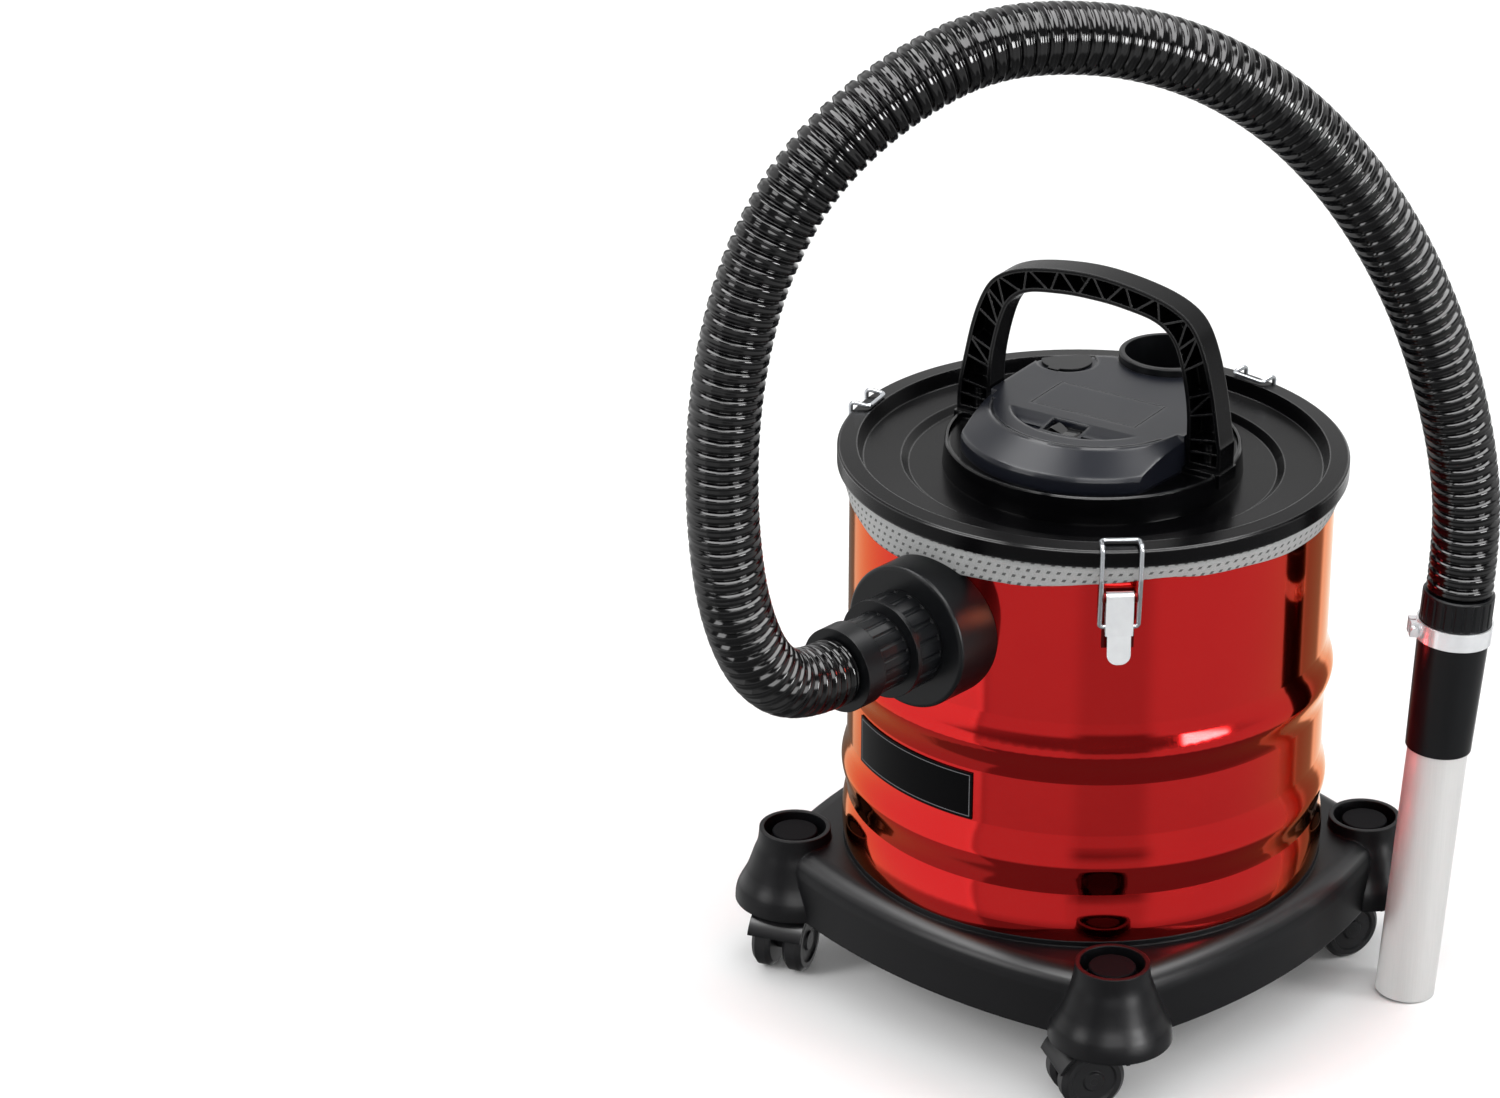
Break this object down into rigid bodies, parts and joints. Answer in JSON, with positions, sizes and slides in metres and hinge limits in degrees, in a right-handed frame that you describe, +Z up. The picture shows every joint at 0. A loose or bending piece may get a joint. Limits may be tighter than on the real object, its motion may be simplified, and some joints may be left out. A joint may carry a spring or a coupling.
{
  "type": "shop vacuum",
  "caption": "Drum shop vacuum with clamped motor lid, carry handle, four-caster dolly, corrugated hose, metal suction tube and inner filters",
  "frame": {"origin": "On the floor under the centre of the drum, midway between the four caster towers", "axes": "+Z up, +X right, +Y back; the hose inlet faces front left"},
  "size_m": [0.5178, 0.4886, 0.7167],
  "materials": {
    "painted_metal": "gloss red lacquer on sheet steel",
    "zinc": "bright zinc plate",
    "aluminium_tube": "satin anodised tube",
    "black_plastic": "fine-grained black moulding",
    "grey_plastic": "blue-grey matte moulding",
    "dolly_plastic": "satin black moulding",
    "wheel_plastic": "plain black wheel",
    "gloss_black": "shiny black plastic",
    "rubber": "soft black rubber",
    "grey_cloth": "grey filter cloth",
    "filter_paper": "off-white pleated filter paper",
    "black_mesh": "black mesh",
    "rotor_steel": "laminated steel core"
  },
  "bodies": {
    "machine": {"drum_shell": "painted_metal", "latch_brackets": "painted_metal", "latch_rivets": "zinc", "latch_pins": "zinc", "clamp_screw": "zinc", "head_screws": "zinc", "cover_screws": "zinc", "handle_screws": "zinc", "hose_clamp": "zinc", "motor_bearings": "zinc", "suction_tube": "aluminium_tube", "lid": "black_plastic", "base_ring": "black_plastic", "handle": "black_plastic", "blow_port": "black_plastic", "plug_cap": "black_plastic", "cable_gland": "black_plastic", "inlet_flange": "black_plastic", "inlet_nut": "black_plastic", "inlet_adapter": "black_plastic", "hose_cuff": "black_plastic", "tube_cuff": "black_plastic", "motor_basket": "black_plastic", "filter_collar": "black_plastic", "filter_base": "black_plastic", "switch_bezel": "black_plastic", "motor_body": "black_plastic", "motor_cover": "grey_plastic", "dolly": "dolly_plastic", "tower_caps": "dolly_plastic", "hose": "gloss_black", "badge_plate": "gloss_black", "lid_seal": "rubber", "inlet_gasket": "rubber", "motor_mount": "rubber", "bag_hem": "grey_cloth", "filter_bag": "grey_cloth", "filter_pleats": "filter_paper", "mesh_sleeve": "black_mesh"},
    "rotor": {"motor_rotor": "rotor_steel", "impeller": "black_plastic"},
    "switch": {"switch_rocker": "gloss_black"},
    "lever_front": {"latch_lever_front": "zinc"},
    "bail_front": {"latch_bail_front": "zinc"},
    "lever_right": {"latch_lever_right": "zinc"},
    "bail_right": {"latch_bail_right": "zinc"},
    "lever_left": {"latch_lever_left": "zinc"},
    "bail_left": {"latch_bail_left": "zinc"},
    "caster_front": {"caster_hood_front": "dolly_plastic", "caster_pins_front": "zinc"},
    "wheels_front": {"caster_wheels_front": "wheel_plastic"},
    "caster_right": {"caster_hood_right": "dolly_plastic", "caster_pins_right": "zinc"},
    "wheels_right": {"caster_wheels_right": "wheel_plastic"},
    "caster_back": {"caster_hood_back": "dolly_plastic", "caster_pins_back": "zinc"},
    "wheels_back": {"caster_wheels_back": "wheel_plastic"},
    "caster_left": {"caster_hood_left": "dolly_plastic", "caster_pins_left": "zinc"},
    "wheels_left": {"caster_wheels_left": "wheel_plastic"}
  },
  "joints": [
    {"name": "motor_spin", "type": "hinge", "parent": "machine", "child": "rotor", "pos_m": [0, 0, 0.34], "axis": [0, 0, 1], "continuous": true},
    {"name": "switch_rock", "type": "hinge", "parent": "machine", "child": "switch", "pos_m": [-0.02116, -0.02913, 0.3856], "axis": [0.5878, 0.809, 0], "range_deg": [-16, 0]},
    {"name": "lever_front_swing", "type": "hinge", "parent": "machine", "child": "lever_front", "pos_m": [0, -0.1606, 0.3345], "axis": [-1, 0, 0], "range_deg": [0, 100]},
    {"name": "bail_front_swing", "type": "hinge", "parent": "lever_front", "child": "bail_front", "pos_m": [0, -0.16, 0.314], "axis": [-1, 0, 0], "range_deg": [-130, 0]},
    {"name": "lever_right_swing", "type": "hinge", "parent": "machine", "child": "lever_right", "pos_m": [0.11935, 0.10746, 0.3345], "axis": [0.6691, -0.7431, 0], "range_deg": [0, 100]},
    {"name": "bail_right_swing", "type": "hinge", "parent": "lever_right", "child": "bail_right", "pos_m": [0.1189, 0.10706, 0.314], "axis": [0.6691, -0.7431, 0], "range_deg": [-130, 0]},
    {"name": "lever_left_swing", "type": "hinge", "parent": "machine", "child": "lever_left", "pos_m": [-0.14046, 0.07786, 0.3345], "axis": [0.4848, 0.8746, 0], "range_deg": [0, 100]},
    {"name": "bail_left_swing", "type": "hinge", "parent": "lever_left", "child": "bail_left", "pos_m": [-0.13994, 0.07757, 0.314], "axis": [0.4848, 0.8746, 0], "range_deg": [-130, 0]},
    {"name": "caster_front_swivel", "type": "hinge", "parent": "machine", "child": "caster_front", "pos_m": [0, -0.189, 0.06], "axis": [0, 0, 1], "continuous": true},
    {"name": "wheels_front_roll", "type": "hinge", "parent": "caster_front", "child": "wheels_front", "pos_m": [-0.01553, -0.19287, 0.021], "axis": [0.2419, -0.9703, 0], "continuous": true},
    {"name": "caster_right_swivel", "type": "hinge", "parent": "machine", "child": "caster_right", "pos_m": [0.189, 0, 0.06], "axis": [0, 0, 1], "continuous": true},
    {"name": "wheels_right_roll", "type": "hinge", "parent": "caster_right", "child": "wheels_right", "pos_m": [0.1745, -0.00676, 0.021], "axis": [0.4226, -0.9063, 0], "continuous": true},
    {"name": "caster_back_swivel", "type": "hinge", "parent": "machine", "child": "caster_back", "pos_m": [0, 0.189, 0.06], "axis": [0, 0, 1], "continuous": true},
    {"name": "wheels_back_roll", "type": "hinge", "parent": "caster_back", "child": "wheels_back", "pos_m": [-0.01576, 0.19178, 0.021], "axis": [-0.1736, -0.9848, 0], "continuous": true},
    {"name": "caster_left_swivel", "type": "hinge", "parent": "machine", "child": "caster_left", "pos_m": [-0.189, 0, 0.06], "axis": [0, 0, 1], "continuous": true},
    {"name": "wheels_left_roll", "type": "hinge", "parent": "caster_left", "child": "wheels_left", "pos_m": [-0.19551, -0.01462, 0.021], "axis": [0.9135, -0.4067, 0], "continuous": true}
  ],
  "couplings": [
    {"joint": "bail_front_swing", "follows": "lever_front_swing", "ratio": -1.3},
    {"joint": "bail_right_swing", "follows": "lever_right_swing", "ratio": -1.3},
    {"joint": "bail_left_swing", "follows": "lever_left_swing", "ratio": -1.3}
  ]
}
